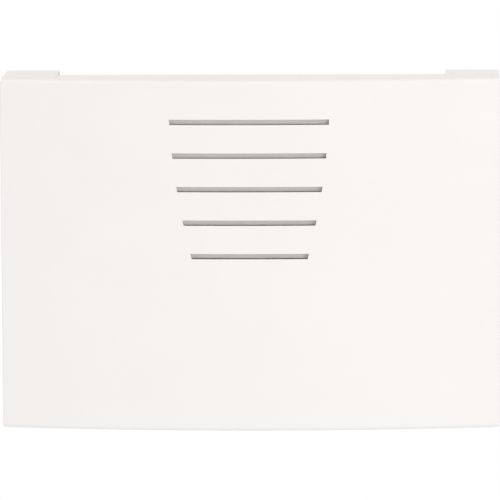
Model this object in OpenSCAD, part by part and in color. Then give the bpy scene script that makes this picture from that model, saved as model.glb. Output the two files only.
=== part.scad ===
// Wired two-note doorbell chime in a wall box.
// The wall is the plane y = 0, the front faces -Y, +X is to the right and +Z is up.
// The origin is on the wall, in the middle of the box. Sizes are in millimetres.

/* [Cover] */
// Width of the cover
cover_w = 190; // [176:1:230]
// Height of the cover
cover_h = 134; // [130:1:170]
// Depth of the cover at its left and right edges
side_depth = 34; // [33:0.5:46]
// How far the middle of the front bows out past the side edges
bow = 9.2; // [7:0.2:14]
// Wall thickness of the cover
wall = 2.4; // [1.8:0.1:3]
// Fillet along the top and bottom edges of the front
edge_r = 1.5; // [0.6:0.1:2]
// Fillet along the left and right edges of the front
side_edge_r = 0.6; // [0.6:0.1:2]
// Corner radius seen from the front
corner_r = 1; // [1:0.1:4]
// Gap between the rear edge of the cover and the wall
wall_gap = 0.4; // [0.2:0.1:1]
// Side of the square stop posts in the corners of the cover
stop_post = 6; // [5:0.5:9]

/* [Sound openings] */
// Number of slots in the front
slot_count = 5; // [3:1:5]
// Height of a slot
slot_h = 2; // [1.6:0.1:2.6]
// Distance from one slot to the next
slot_pitch = 12.8; // [9:0.2:13.6]
// Distance from the top of the cover to the middle of the first slot
slot_top = 15.8; // [12:0.1:18]
// Width of the group of slots, taken at the top of the cover
slot_group_w = 61.6; // [44:0.2:90]
// Radius of the two arcs that the ends of the slots follow
slot_group_r = 268; // [200:1:400]
// Slope of the sill of a slot, down towards the inside
sill_angle = 15; // [8:1:22]
// Gap between the front wall and the top of the hood that hangs behind a slot
hood_gap = 0.2; // [0.2:0.1:0.8]
// How far a hood leans back from its top to its lower edge
hood_lean = 1; // [0.4:0.1:1.4]
// Thickness of a hood
hood_t = 1.2; // [1:0.1:1.4]
// How far a hood hangs past the lower edge of its slot
hood_drop = 0.15; // [0:0.05:0.3]
// Width of the lugs that reach back to the wall at the corners
lug_w = 20.7; // [16:0.1:28]
// Gap between the lugs, from the wall to the edge of the top
sound_gap = 8; // [5:0.5:12]
// How far the top falls between the lugs, from front to back
top_fall = 1; // [0.4:0.1:1.2]

/* [Base] */
// Thickness of the base plate
base_t = 2.5; // [2:0.1:3.2]
// Gap all round between the base and the inside of the cover
fit_gap = 0.6; // [0.4:0.1:1]
// Height of the rim above the base plate
rim_h = 5; // [4:0.5:7]
// Thickness of the rim and of the grip tongues
rim_t = 1.6; // [1.2:0.1:2.2]
// Height of the tongues that grip the cover
tongue_h = 13; // [11:0.5:16]
// Width of a grip tongue
tongue_w = 14; // [10:0.5:20]
// Distance from the middle of the box up and down to the tongues
tongue_z = 18; // [14:0.5:24]
// Radius of the bead on a grip tongue
bead_r = 2; // [1.5:0.1:2.5]
// Running gap between a grip bead and the cover
grip_gap = 0.15; // [0.1:0.05:0.3]
// Diameter of the wall screw holes
screw_hole_d = 4.5; // [4:0.1:5.5]
// Distance from a side of the base to the wall screw holes
screw_inset_x = 11; // [9:0.5:13]
// Distance from the top or bottom of the base to the wall screw holes
screw_inset_z = 19; // [15:0.5:24]
// Diameter of the raised pad round a wall screw hole
screw_pad_d = 12; // [10:0.5:14]
// Height of the raised pad round a wall screw hole
screw_pad_h = 1; // [0.6:0.1:2]
// Width of the opening for the bell wires
entry_w = 34; // [20:1:44]
// Height of the opening for the bell wires
entry_h = 10; // [8:0.5:12]
// Corner radius of the opening for the bell wires
entry_r = 2; // [1:0.5:3.5]
// Height of the bosses that carry the bracket and the terminal board
boss_h = 4; // [3:0.5:5]
// Diameter of those bosses
boss_d = 8; // [7:0.5:9]

/* [Tone plates] */
// Distance between the faces that the plungers strike
strike_span = 116; // [110:1:130]
// Length of the left-hand tone plate, which sounds the lower note
left_plate_l = 106; // [98:1:112]
// Length of the right-hand tone plate, which sounds the higher note
right_plate_l = 96; // [88:1:104]
// Width of a tone plate
plate_w = 24; // [20:0.5:26]
// Thickness of a tone plate
plate_t = 2.5; // [2:0.1:3.2]
// Corner radius of a tone plate
plate_r = 3; // [1:0.5:5]
// Diameter of the holes that hold the grommets
plate_hole_d = 8; // [7:0.1:9]
// Diameter of the lips of a grommet
lip_d = 12.5; // [11:0.1:14]
// Thickness of a lip of a grommet
lip_t = 2; // [1.4:0.1:2.6]
// Shank diameter of the screw through a grommet
plate_screw_d = 4; // [3:0.1:4.5]
// Head diameter of the screw through a grommet
plate_screw_head_d = 8; // [7:0.1:9]
// Head height of the screw through a grommet
plate_screw_head_t = 2.4; // [1.8:0.1:3]
// Thickness of the pillars that carry the tone plates
pillar_t = 10; // [8:0.5:12]
// Height of a pillar's foot seen from the front
pillar_l = 12; // [10:0.5:14]
// How far a pillar stands past the middle of its screw
pillar_over = 6; // [5:0.5:8]

/* [Solenoids] */
// Length of a coil between the end plates of the bracket
bracket_l = 52; // [48:0.5:56]
// Thickness of the bracket's steel strip
bracket_t = 1.5; // [1.2:0.1:2]
// Inside radius of the bracket's bends
bend_r = 1; // [0.5:0.1:1.6]
// How far the end plates stand past the plunger axis
end_over = 10; // [9:0.5:12]
// How far the bracket stands past the coils above and below
end_side = 2; // [1:0.5:3]
// Distance between the two plunger axes
coil_pitch = 26; // [25:0.5:30]
// Distance from the middle of the bracket to its screws
bracket_screw_x = 17; // [12:0.5:20]
// Diameter of a bobbin's flanges
flange_d = 22; // [20:0.5:23]
// Thickness of a bobbin's flanges
flange_t = 1.5; // [1:0.1:2]
// Gap between a bobbin's flanges and the back of the bracket
coil_gap = 1; // [0.6:0.1:1.6]
// Outside diameter of a bobbin's tube
spool_d = 10; // [9.4:0.1:12]
// Inside diameter of a bobbin's tube
spool_bore = 7.8; // [7.4:0.1:8.4]
// Outside diameter of a copper winding
winding_d = 20; // [17:0.5:20]
// Diameter of the plunger cores
core_d = 7; // [6:0.1:7]
// Diameter of the nylon strike rods
rod_d = 5; // [4:0.1:6]
// Diameter of the spigots that join nylon to steel
spigot_d = 3; // [2:0.1:3.4]
// Length of those spigots
spigot_l = 6; // [4:0.5:8]
// Diameter of the collar on a return head
collar_d = 11; // [10:0.1:12]
// Thickness of that collar
collar_t = 2.5; // [2:0.1:3]
// Diameter of the nose on a return head
nose_d = 6; // [5:0.1:7]
// Length of that nose
nose_l = 3.5; // [3:0.1:4]
// Flange diameter of the guide bushes
guide_flange_d = 15; // [14:0.5:17]
// Flange thickness of the guide bushes
guide_flange_t = 2; // [1.5:0.1:2.6]
// Neck diameter of the guide bushes
guide_neck_d = 11; // [10:0.1:12]
// Radial running clearance of a plunger in its guides
run_gap = 0.08; // [0.04:0.01:0.1]
// Gap from a strike rod to the right-hand tone plate
strike_gap = 8; // [6:0.5:9]
// Gap from the front-door return head to the left-hand tone plate
rebound_gap = 3; // [2:0.5:4]
// Shortest distance from a core to its right-hand guide
core_margin = 5; // [3:0.5:7]
// Wire diameter of the return springs
spring_wire = 0.7; // [0.5:0.05:0.8]
// Gap between a spring and its core
spring_gap = 0.35; // [0.3:0.05:0.5]
// Turns of the front-door spring
front_turns = 8; // [5:0.5:9]
// Turns of the back-door spring
rear_turns = 6; // [4:0.5:7]
// Thickness of the post that stops the back-door plunger
post_t = 4; // [3:0.5:5]
// Height of that post's foot seen from the front
post_l = 11; // [9:0.5:13]
// Gap between that post and the left-hand tone plate
post_gap = 3; // [2:0.5:4]
// Thickness of the felt damper
felt_t = 2; // [1.5:0.1:3]
// Diameter of the felt damper
felt_d = 9; // [7:0.5:10]
// Gap between the felt damper and the back-door plunger
felt_gap = 0.3; // [0.2:0.05:0.5]

/* [Terminals] */
// Width of the terminal board
board_w = 64; // [58:1:76]
// Height of the terminal board
board_h = 15; // [13:0.5:17]
// Thickness of the terminal board
board_t = 3; // [2:0.1:4]
// Corner radius of the terminal board
board_r = 1.5; // [0.5:0.5:3]
// Distance from the bottom of the base to the terminal board
board_inset = 7; // [5:0.5:8]
// Distance between terminals
terminal_pitch = 14; // [13:0.5:16]
// Width of a terminal plate
terminal_w = 10; // [9:0.5:11]
// Height of a terminal plate
terminal_h = 11; // [9:0.5:12]
// Thickness of a terminal plate
terminal_t = 0.8; // [0.5:0.1:1.2]
// Width of the solder tag on a terminal plate
tag_w = 4.4; // [4:0.1:5]
// How far a solder tag stands above the terminal board
tag_l = 3; // [2.5:0.1:3.5]
// Shank diameter of a terminal screw
terminal_screw_d = 3.5; // [3:0.1:4]
// Head diameter of a terminal screw
terminal_head_d = 6.5; // [6:0.1:7.5]
// Head height of a terminal screw
terminal_head_t = 2.2; // [1.6:0.1:2.6]
// How far a terminal screw stands out behind the board
terminal_screw_out = 2; // [1:0.1:2.5]

/* [Fixings] */
// Shank diameter of the small fixing screws
fix_screw_d = 3; // [2.5:0.1:3.4]
// Head diameter of the small fixing screws
fix_head_d = 5.6; // [5:0.1:6]
// Head height of the small fixing screws
fix_head_t = 1.8; // [1.4:0.1:2.2]
// Width of a screwdriver slot
drive_w = 1; // [0.6:0.1:1.2]
// Depth of a screwdriver slot
drive_d = 1; // [0.6:0.1:1.2]
// Radial clearance round fixed pins, screws and necks
pin_gap = 0.05; // [0.03:0.01:0.1]
// Clearance between pieces that are stacked end to end
end_gap = 0.1; // [0.05:0.01:0.2]
// Diameter of the insulated coil leads
lead_d = 1.3; // [1:0.1:1.5]

/* [Hidden] */
$fn = 64;
// Segments of the large arcs of the front, for a full circle
bow_fn = 720;
// Sector of the front's circle that is swept, in degrees
bow_sector = 32;
slot_sector = 14;
// Extra length that takes a cut clear of the face it leaves
cut = 1;
// A free bar rings with no motion at this share of its length from each end
node_share = 0.224;

// Cover
bow_r = (pow(cover_w / 2, 2) + pow(bow, 2)) / (2 * bow);
front_y = -(side_depth + bow);
bow_y = front_y + bow_r;
cover_depth = side_depth + bow;
in_w = cover_w - 2 * wall;
in_h = cover_h - 2 * wall;
in_corner_r = max(corner_r - wall, 0.2);
notch_w = cover_w - 2 * lug_w;

// Base
base_w = in_w - 2 * fit_gap;
base_h = in_h - 2 * fit_gap;
rim_y = -(base_t + rim_h);
boss_y = -(base_t + boss_h);
bead_out = fit_gap - grip_gap;
screw_x = base_w / 2 - screw_inset_x;
screw_z = base_h / 2 - screw_inset_z;

// Plunger axes
web_y = boss_y - bracket_t;
axis_y = web_y - coil_gap - flange_d / 2;
front_z = coil_pitch / 2;
rear_z = -coil_pitch / 2;
end_x = bracket_l / 2;
end_out_x = end_x + bracket_t;
bracket_h = coil_pitch + flange_d + 2 * end_side;
bracket_front_y = axis_y - end_over;
guide_x = end_out_x + guide_flange_t;

// Tone plates
strike_x = strike_span / 2;
pillar_x = strike_x + plate_t + lip_t + 2 * pin_gap;
plate_head_x = strike_x - lip_t - pin_gap;

// Plungers at rest
core_end_x = end_x - strike_gap - core_margin;
rod_tip_x = strike_x - strike_gap;
front_tip_x = -strike_x + rebound_gap;
post_x = -strike_x + post_gap;
felt_x = post_x + post_t + pin_gap;
rear_tip_x = felt_x + felt_t + felt_gap;
front_collar_x = front_tip_x + nose_l + collar_t;
rear_collar_x = rear_tip_x + nose_l + collar_t;
spring_r = core_d / 2 + spring_gap + spring_wire / 2;

// Terminals
board_z = -base_h / 2 + board_inset + board_h / 2;
board_y = boss_y - board_t;
board_top_z = board_z + board_h / 2;
board_screw_x = board_w / 2 - boss_d / 2;
terminal_y = board_y - terminal_t;
terminal_z = board_z - (board_h - terminal_h) / 2 + pin_gap;
tag_top_z = board_top_z + tag_l;
entry_z = (board_top_z + tag_l - bracket_h / 2) / 2;
lead_end_z = tag_top_z - lead_d;
lead_end_y = terminal_y - pin_gap;
lead_start_y = axis_y - winding_d / 2 - pin_gap;

// Routes of the coil leads: in front of the coils, then back to the solder tags
front_lead = [
    [-20, lead_start_y, front_z], [-20, -31.8, 13], [-20, -33.4, 10.5], [-20, -33.6, 2],
    [-20, -33.6, -10], [-20, -33, -21], [-19, -29, -29], [-16.5, -21, -35.5],
    [-14.4, -14.5, lead_end_z + 0.5], [-14, lead_end_y, lead_end_z]
];
common_lead_a = [
    [9, lead_start_y, front_z], [9, -31.8, 13], [9, -33.4, 10.5], [9, -33.6, 2],
    [8.5, -33.6, -10], [7, -33, -21], [5, -29, -29], [3, -21, -35.5],
    [1.4, -14.5, lead_end_z + 0.5], [1.3, lead_end_y, lead_end_z]
];
common_lead_b = [
    [-8, lead_start_y, rear_z], [-8, -31.8, -13], [-7.8, -33.2, -15.5], [-7, -32.6, -22],
    [-5, -28.5, -29.5], [-3, -21, -35.5], [-1.4, -14.5, lead_end_z + 0.5], [-1.3, lead_end_y, lead_end_z]
];
rear_lead = [
    [20, lead_start_y, rear_z], [20, -31.8, -13], [20, -33.2, -15.5], [19.6, -32.6, -22],
    [18.5, -28.5, -29.5], [16.5, -21, -35.5], [14.4, -14.5, lead_end_z + 0.5], [14, lead_end_y, lead_end_z]
];

// Shared shapes

// A rectangle about the origin with round corners
module round_rect(w, h, r) {
    square([w - 2 * r, h], center = true);
    square([w, h - 2 * r], center = true);
    for (sx = [-1, 1], sy = [-1, 1])
        translate([sx * (w / 2 - r), sy * (h / 2 - r)]) circle(r);
}

// A flat outline drawn in x and z, raised from the plane y = near towards the front
module towards_front(near, height) {
    translate([0, near, 0]) rotate([90, 0, 0]) linear_extrude(height) children();
}

// A flat outline drawn in y and z, run along x from one place to another
module along_x(from, to) {
    translate([from, 0, 0]) rotate([90, 0, 90]) linear_extrude(to - from) children();
}

// A round bar along x
module bar_x(from, to, d) {
    translate([from, 0, 0]) rotate([0, 90, 0]) cylinder(h = to - from, d = d);
}

// A round bar along y, from a place near the wall towards the front
module bar_y(near, height, d) {
    translate([0, near, 0]) rotate([90, 0, 0]) cylinder(h = height, d = d);
}

// A box between two corners
module box(low, high) {
    translate(low) cube(high - low);
}

// Its children, and their mirror image on the other side
module both_sides() {
    children();
    mirror([1, 0, 0]) children();
}

// Height above the middle at which a tone plate of this length is held
function hold_z(plate_l) = plate_l * (0.5 - node_share);

// Its children at the four places where the tone plates are held, mirrored on the left-hand side
module at_plate_holds() {
    for (side = [0, 1], end = [-1, 1])
        mirror([side, 0, 0])
            translate([0, axis_y, end * hold_z(side == 0 ? right_plate_l : left_plate_l)]) children();
}

// A pan-head screw along -Y whose head sits on the plane y = seat
module screw_y(seat, d, head_d, head_t, length) {
    difference() {
        union() {
            bar_y(seat, head_t, head_d);
            bar_y(seat + length, length + head_t / 2, d);
        }
        box([-head_d, seat - head_t - cut, -drive_w / 2], [head_d, seat - head_t + drive_d, drive_w / 2]);
    }
}

// Unit vector, and the middle part of a smooth curve through four points
function unit(v) = v / norm(v);
function curve(a, b, c, d, t) =
    0.5 * (2 * b + (c - a) * t + (2 * a - 5 * b + 4 * c - d) * t * t + (3 * b - a - 3 * c + d) * t * t * t);
// A route with one point added in the middle of each step
function smooth(route) =
    let (n = len(route))
    [
        for (i = [0 : n - 2]) each [
            route[i],
            curve(route[max(i - 1, 0)], route[i], route[i + 1], route[min(i + 2, n - 1)], 0.5)
        ],
        route[n - 1]
    ];
// Direction of a path at each of its points; the ends leave square to what they meet
function headings(path) =
    let (last = len(path) - 1)
    [
        [0, -1, 0],
        for (i = [1 : last - 1]) unit(path[i + 1] - path[i - 1]),
        [0, 1, 0]
    ];

// A tube through rings of points, closed at both ends
module ring_tube(rings) {
    n = len(rings);
    k = len(rings[0]);
    sides = [
        for (i = [0 : n - 2], j = [0 : k - 1]) each [
            [i * k + j, (i + 1) * k + j, i * k + (j + 1) % k],
            [i * k + (j + 1) % k, (i + 1) * k + j, (i + 1) * k + (j + 1) % k]
        ]
    ];
    ends = [
        for (j = [1 : k - 2]) each [
            [0, j, j + 1],
            [(n - 1) * k, (n - 1) * k + j + 1, (n - 1) * k + j]
        ]
    ];
    polyhedron(points = [for (ring = rings) each ring], faces = concat(sides, ends));
}

// Cover

// A flat outline drawn in radius and z, swept round the axis of the bow over a sector of the front
module round_bow(sector) {
    translate([0, bow_y, 0]) rotate([0, 0, 270 - sector / 2])
        rotate_extrude(angle = sector, $fn = bow_fn) children();
}

// Everything behind a front of the given radius
module bowed_block(r) {
    round_bow(bow_sector) translate([0, -cover_h / 2 - cut]) square([r, cover_h + 2 * cut]);
}

// What is taken off the edges where the front meets the top and the bottom
module long_edge_cuts() {
    centre = [bow_r - edge_r, cover_h / 2 - edge_r];
    for (side = [0, 1]) mirror([0, 0, side])
        round_bow(bow_sector) difference() {
            polygon([
                centre, [centre[0], cover_h / 2], [centre[0], cover_h / 2 + cut],
                [bow_r + cut, cover_h / 2 + cut], [bow_r + cut, centre[1]], [bow_r, centre[1]]
            ]);
            translate(centre) circle(edge_r);
        }
}

// What is taken off the edge where the bowed front meets the left-hand or right-hand side
module side_edge_cut() {
    centre_x = cover_w / 2 - side_edge_r;
    reach = bow_r - side_edge_r;
    centre_y = bow_y - sqrt(pow(reach, 2) - pow(centre_x, 2));
    touch = [centre_x, centre_y - bow_y] * bow_r / reach + [0, bow_y];
    out = unit([centre_x, centre_y - bow_y]);
    translate([0, 0, -cover_h / 2 - cut]) linear_extrude(cover_h + 2 * cut)
        difference() {
            polygon([
                [centre_x, centre_y], [cover_w / 2, centre_y], [cover_w / 2 + cut, centre_y],
                [cover_w / 2 + cut, centre_y - 2 * side_edge_r], touch + out * 2 * side_edge_r, touch
            ]);
            translate([centre_x, centre_y]) circle(side_edge_r);
        }
}

// Where the slots are: a block between two arcs, widened by a margin
module slot_group(margin) {
    towards_front(front_y + bow, bow + cut)
        intersection_for (side = [-1, 1])
            translate([side * (slot_group_w / 2 - slot_group_r), cover_h / 2])
                circle(slot_group_r + margin, $fn = bow_fn);
}

// Its children, drawn in radius and z, swept round the axis of the bow at each slot
module at_slots() {
    for (i = [0 : slot_count - 1])
        translate([0, 0, cover_h / 2 - slot_top - i * slot_pitch])
            round_bow(slot_sector) children();
}

// The slots, cut through the wall as far as the hoods
module slot_cuts() {
    top_r = bow_r - wall - hood_gap;
    low_r = top_r - hood_lean;
    drop = tan(sill_angle);
    intersection() {
        slot_group(0);
        at_slots() polygon([
            [bow_r + cut, slot_h / 2], [top_r, slot_h / 2], [low_r, -slot_h / 2 - hood_drop],
            [low_r, -slot_h / 2 - (bow_r - low_r) * drop], [bow_r + cut, -slot_h / 2 + cut * drop]
        ]);
    }
}

// Hoods inside the front: each hangs behind a slot and leaves the sound a way out below it
module slot_hoods() {
    intersection() {
        slot_group(hood_t);
        at_slots() translate([bow_r - wall - hood_gap - hood_lean - hood_t, -slot_h / 2 - hood_drop])
            square([hood_gap + hood_lean + hood_t + cut, slot_h + hood_drop + hood_t]);
    }
}

// Between the lugs the top falls towards the back and stops short of the wall, and the bottom likewise
module sound_gap_cuts() {
    top = cover_h / 2;
    for (side = [0, 1]) mirror([0, 0, side])
        along_x(-notch_w / 2, notch_w / 2)
            polygon([
                [-side_depth, top], [-sound_gap, top - top_fall], [-sound_gap, in_h / 2 - cut],
                [cut, in_h / 2 - cut], [cut, top + cut], [-side_depth, top + cut]
            ]);
}

// Posts inside the corners of the cover that stop it on the rim of the base
module stop_posts() {
    for (sx = [-1, 1], sz = [-1, 1])
        translate([sx * (in_w - stop_post) / 2, 0, sz * (in_h - stop_post) / 2])
            towards_front(rim_y - end_gap, cover_depth) square(stop_post + cut, center = true);
}

module cover() {
    color("#f3efec") difference() {
        intersection() {
            towards_front(-wall_gap, cover_depth) round_rect(cover_w, cover_h, corner_r);
            bowed_block(bow_r);
        }
        difference() {
            intersection() {
                towards_front(cut, cover_depth + cut) round_rect(in_w, in_h, in_corner_r);
                bowed_block(bow_r - wall);
            }
            stop_posts();
            slot_hoods();
        }
        long_edge_cuts();
        both_sides() side_edge_cut();
        slot_cuts();
        sound_gap_cuts();
    }
}

// Base

// Rim at the corners and up both sides, left out behind the sound gaps
module rim() {
    towards_front(-base_t, rim_h) difference() {
        square([base_w, base_h], center = true);
        square([base_w - 2 * rim_t, base_h - 2 * rim_t], center = true);
        square([notch_w, base_h + cut], center = true);
    }
}

// One tongue with the bead that grips the side of the cover
module grip_tongue() {
    inner = base_w / 2 - rim_t;
    end_y = -base_t - tongue_h;
    translate([0, 0, -tongue_w / 2]) linear_extrude(tongue_w) {
        translate([inner, end_y]) square([rim_t, tongue_h]);
        intersection() {
            translate([base_w / 2 + bead_out - bead_r, end_y + bead_r]) circle(bead_r);
            translate([inner, end_y]) square([rim_t + bead_r, tongue_h]);
        }
    }
}

// One pillar that carries a tone plate at a place where it does not ring
module pillar() {
    difference() {
        box([pillar_x, -pillar_over, -pillar_l / 2], [pillar_x + pillar_t, -base_t - axis_y, pillar_l / 2]);
        bar_x(pillar_x - cut, pillar_x + pillar_t + cut, plate_screw_d + 2 * pin_gap);
    }
}

// One boss with its pilot hole
module boss() {
    difference() {
        bar_y(-base_t, boss_h, boss_d);
        bar_y(cut, base_t + boss_h + 2 * cut, fix_screw_d + 2 * pin_gap);
    }
}

// The post that carries the felt damper
module damper_post() {
    low = [post_x, axis_y - felt_d / 2, rear_z - post_l / 2];
    box(low, [post_x + post_t, -base_t, rear_z + post_l / 2]);
}

// Its children at the four wall screws
module at_wall_screws() {
    for (sx = [-1, 1], sz = [-1, 1])
        translate([sx * screw_x, 0, sz * screw_z]) children();
}

// Its children at the bosses of the bracket and of the terminal board
module at_bosses() {
    both_sides() {
        translate([bracket_screw_x, 0, 0]) children();
        translate([board_screw_x, 0, board_z]) children();
    }
}

module base_plate() {
    color("#ebe8e3") {
        difference() {
            union() {
                towards_front(0, base_t) square([base_w, base_h], center = true);
                at_wall_screws() bar_y(-base_t, screw_pad_h, screw_pad_d);
            }
            at_wall_screws() bar_y(cut, base_t + screw_pad_h + 2 * cut, screw_hole_d);
            translate([0, 0, entry_z]) towards_front(cut, base_t + 2 * cut)
                round_rect(entry_w, entry_h, entry_r);
            at_bosses() bar_y(cut, base_t + 2 * cut, fix_screw_d + 2 * pin_gap);
        }
        rim();
        both_sides() for (side = [-1, 1])
            translate([0, 0, side * tongue_z]) grip_tongue();
        at_bosses() boss();
        at_plate_holds() pillar();
        damper_post();
    }
}

// Tone plates

// One tone plate on the right-hand side, drilled where it is held
module tone_plate(plate_l) {
    difference() {
        along_x(strike_x, strike_x + plate_t)
            translate([axis_y, 0]) round_rect(plate_w, plate_l, plate_r);
        for (end = [-1, 1])
            translate([0, axis_y, end * hold_z(plate_l)])
                bar_x(strike_x - cut, strike_x + plate_t + cut, plate_hole_d);
    }
}

module right_tone_plate() {
    color("#b9bcc0") tone_plate(right_plate_l);
}

module left_tone_plate() {
    color("#b9bcc0") mirror([1, 0, 0]) tone_plate(left_plate_l);
}

// One rubber grommet, a neck in the plate between two lips
module grommet() {
    difference() {
        union() {
            bar_x(strike_x - lip_t - pin_gap, strike_x - pin_gap, lip_d);
            bar_x(strike_x - lip_t, strike_x + plate_t + lip_t, plate_hole_d - 2 * pin_gap);
            bar_x(strike_x + plate_t + pin_gap, strike_x + plate_t + lip_t + pin_gap, lip_d);
        }
        bar_x(strike_x - lip_t - cut, strike_x + plate_t + lip_t + cut, plate_screw_d + 2 * pin_gap);
    }
}

module tone_plate_grommets() {
    color("#2b2b2d") at_plate_holds() grommet();
}

// One screw along x through a grommet into its pillar
module plate_screw() {
    difference() {
        union() {
            bar_x(plate_head_x - plate_screw_head_t, plate_head_x, plate_screw_head_d);
            bar_x(plate_head_x - plate_screw_head_t / 2, pillar_x + pillar_t, plate_screw_d);
        }
        box(
            [plate_head_x - plate_screw_head_t - cut, -plate_screw_head_d, -drive_w / 2],
            [plate_head_x - plate_screw_head_t + drive_d, plate_screw_head_d, drive_w / 2]
        );
    }
}

module tone_plate_screws() {
    color("#c9c6bd") at_plate_holds() plate_screw();
}

// Solenoids

// The bracket's strip seen along z: a back with two end plates bent forward
module bracket_strip() {
    outer_r = bend_r + bracket_t;
    depth = boss_y - bracket_front_y;
    difference() {
        translate([0, boss_y - depth]) round_rect(2 * end_out_x, 2 * depth, outer_r);
        translate([0, boss_y - depth - bracket_t]) round_rect(2 * end_x, 2 * depth, bend_r);
        translate([0, bracket_front_y - depth]) square([2 * end_out_x + cut, 2 * depth], center = true);
    }
}

module solenoid_bracket() {
    color("#c4c3bb") difference() {
        translate([0, 0, -bracket_h / 2]) linear_extrude(bracket_h) bracket_strip();
        for (z = [front_z, rear_z])
            translate([0, axis_y, z]) bar_x(-end_out_x - cut, end_out_x + cut, guide_neck_d);
        both_sides() translate([bracket_screw_x, 0, 0])
            bar_y(boss_y + cut, bracket_t + 2 * cut, fix_screw_d + 2 * pin_gap);
    }
}

module bracket_screws() {
    color("#c9c6bd") both_sides() translate([bracket_screw_x, 0, 0])
        screw_y(web_y, fix_screw_d, fix_head_d, fix_head_t, bracket_t + boss_h);
}

// One guide bush outside the right-hand end plate
module guide(bore) {
    difference() {
        union() {
            bar_x(end_out_x, guide_x, guide_flange_d);
            bar_x(end_x, guide_x - guide_flange_t / 2, guide_neck_d - 2 * pin_gap);
        }
        bar_x(end_x - cut, guide_x + cut, bore);
    }
}

module plunger_guides() {
    color("#e6e0cf") for (z = [front_z, rear_z]) translate([0, axis_y, z]) {
        guide(rod_d + 2 * run_gap);
        mirror([1, 0, 0]) guide(core_d + 2 * run_gap);
    }
}

// A bobbin: a tube between two flanges
module bobbin() {
    half = end_x - end_gap;
    difference() {
        union() {
            bar_x(-half, half, spool_d);
            bar_x(-half, -half + flange_t, flange_d);
            bar_x(half - flange_t, half, flange_d);
        }
        bar_x(-half - cut, half + cut, spool_bore);
    }
}

// The copper on a bobbin
module winding() {
    half = end_x - 2 * end_gap - flange_t;
    difference() {
        bar_x(-half, half, winding_d);
        bar_x(-half - cut, half + cut, spool_d + 2 * pin_gap);
    }
}

module front_bobbin() {
    color("#f2f0ea") translate([0, axis_y, front_z]) bobbin();
}

module rear_bobbin() {
    color("#f2f0ea") translate([0, axis_y, rear_z]) bobbin();
}

module front_winding() {
    color("#b06a3b") translate([0, axis_y, front_z]) winding();
}

module rear_winding() {
    color("#b06a3b") translate([0, axis_y, rear_z]) winding();
}

// Plungers

// A steel core, drilled at both ends for the nylon spigots
module core(collar_x) {
    difference() {
        bar_x(collar_x, core_end_x, core_d);
        bar_x(collar_x - cut, collar_x + spigot_l + end_gap, spigot_d + 2 * pin_gap);
        bar_x(core_end_x - spigot_l - end_gap, core_end_x + cut, spigot_d + 2 * pin_gap);
    }
}

// Half the outline of a bar that ends in a dome, turned about its own axis
module domed_bar(from, tip, d) {
    translate([tip, 0, 0]) rotate([0, tip > from ? 90 : -90, 0]) mirror([0, 0, 1])
        rotate_extrude() {
            translate([0, d / 2]) square([d / 2, abs(tip - from) - d / 2]);
            intersection() {
                translate([0, d / 2]) circle(d / 2);
                square([d / 2, d / 2]);
            }
        }
}

// Nylon head on the left end of a core: a collar for the spring and a blunt nose
module return_head(tip_x, collar_x) {
    domed_bar(collar_x - collar_t / 2, tip_x, nose_d);
    bar_x(collar_x - collar_t, collar_x, collar_d);
    bar_x(collar_x - collar_t / 2, collar_x + spigot_l, spigot_d);
}

// Nylon rod on the right end of a core, which strikes the right-hand plate
module strike_rod() {
    domed_bar(core_end_x, rod_tip_x, rod_d);
    bar_x(core_end_x - spigot_l, core_end_x + cut, spigot_d);
}

module front_plunger_core() {
    color("#9da0a3") translate([0, axis_y, front_z]) core(front_collar_x);
}

module front_return_head() {
    color("#efe9d8") translate([0, axis_y, front_z]) return_head(front_tip_x, front_collar_x);
}

module front_strike_rod() {
    color("#efe9d8") translate([0, axis_y, front_z]) strike_rod();
}

module rear_plunger_core() {
    color("#9da0a3") translate([0, axis_y, rear_z]) core(rear_collar_x);
}

module rear_return_head() {
    color("#efe9d8") translate([0, axis_y, rear_z]) return_head(rear_tip_x, rear_collar_x);
}

module rear_strike_rod() {
    color("#efe9d8") translate([0, axis_y, rear_z]) strike_rod();
}

// Return springs

spring_sides = 6;
rings_per_turn = 8;
// Centre line of a spring: straight for one wire diameter at each end, and a helix between
function spring_path(from, to, turns) =
    let (
        low = from + pin_gap,
        high = to - pin_gap,
        steps = round(turns * rings_per_turn),
        rise = (high - low - 2 * spring_wire) / steps
    )
    [
        [low, 0],
        for (i = [0 : steps]) [low + spring_wire + i * rise, 360 * turns * i / steps],
        [high, 360 * turns]
    ];
function spring_point(p) = [p[0], spring_r * cos(p[1]), spring_r * sin(p[1])];
// One ring of the wire: flat on its seat at the ends, along the helix between
function spring_ring(path, i) =
    let (
        n = len(path),
        here = spring_point(path[i]),
        flat = i == 0 || i == n - 1,
        ahead = flat ? [1, 0, 0] : unit(spring_point(path[i + 1]) - spring_point(path[i - 1])),
        out = [0, cos(path[i][1]), sin(path[i][1])],
        side = unit(cross(ahead, out)),
        up = cross(side, ahead)
    )
    [
        for (k = [0 : spring_sides - 1])
            here + spring_wire / 2 * (cos(360 * k / spring_sides) * up + sin(360 * k / spring_sides) * side)
    ];
// Least gap between a point of the wire and the next turn of the same wire
function spring_least_gap(path) =
    let (near = rings_per_turn / 2)
    min([
        for (i = [0 : len(path) - 1], j = [i + near : 1 : len(path) - 1])
            norm(spring_point(path[i]) - spring_point(path[j])) - spring_wire
    ]);

module spring(from, to, turns) {
    path = spring_path(from, to, turns);
    echo(spring_least_gap = spring_least_gap(path));
    ring_tube([for (i = [0 : len(path) - 1]) spring_ring(path, i)]);
}

module front_spring() {
    color("#d2d3d4") translate([0, axis_y, front_z]) spring(front_collar_x, -guide_x, front_turns);
}

module rear_spring() {
    color("#d2d3d4") translate([0, axis_y, rear_z]) spring(rear_collar_x, -guide_x, rear_turns);
}

module felt_damper() {
    color("#5d6b57") translate([0, axis_y, rear_z]) bar_x(felt_x, felt_x + felt_t, felt_d);
}

// Terminals

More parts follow.
